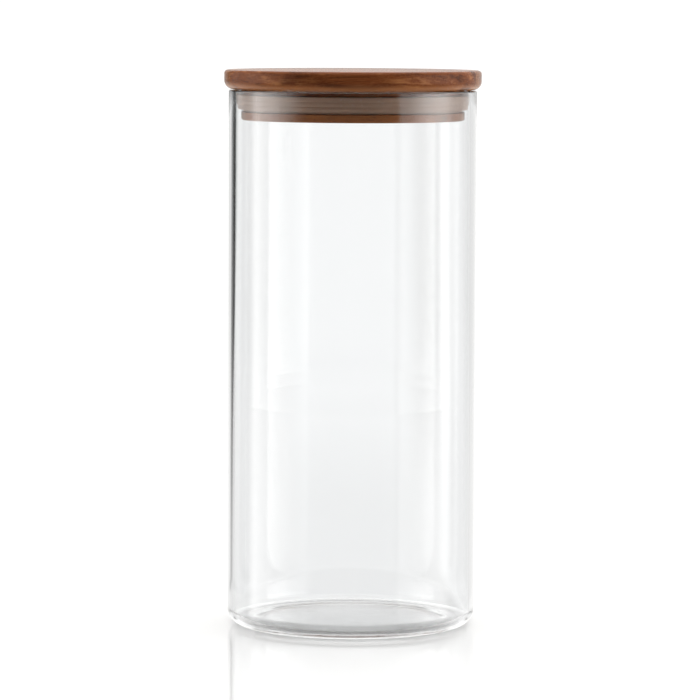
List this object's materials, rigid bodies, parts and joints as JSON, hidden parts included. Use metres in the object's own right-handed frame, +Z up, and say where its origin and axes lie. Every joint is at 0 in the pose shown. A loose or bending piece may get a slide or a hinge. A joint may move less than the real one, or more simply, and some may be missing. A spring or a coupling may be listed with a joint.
{
  "type": "lidded glass canister",
  "caption": "Straight clear glass storage canister with a lift-off wooden plug lid, sealed in the mouth by a lipped silicone ring.",
  "frame": {"origin": "centre of the standing ring under the jar", "axes": "+Z up along the jar's axis, +Y from the front towards the back, so the lid's staves and their grain run along X"},
  "size_m": [0.1036, 0.1036, 0.2241],
  "materials": {
    "clear_glass": "clear, polished",
    "silicone": "translucent, satin",
    "lid_wood": "oiled, satin"
  },
  "bodies": {
    "jar": {"glass_jar": "clear_glass"},
    "seal": {"silicone_seal": "silicone"},
    "lid": {"front_stave": "lid_wood", "middle_stave": "lid_wood", "rear_stave": "lid_wood"}
  },
  "joints": [
    {"name": "lid_lift", "type": "slide", "parent": "jar", "child": "seal", "axis": [0, 0, 1], "range_m": [0, 0.12]},
    {"name": "lid_turn", "type": "hinge", "parent": "seal", "child": "lid", "pos_m": [0, 0, 0.21065], "axis": [0, 0, 1], "continuous": true}
  ]
}
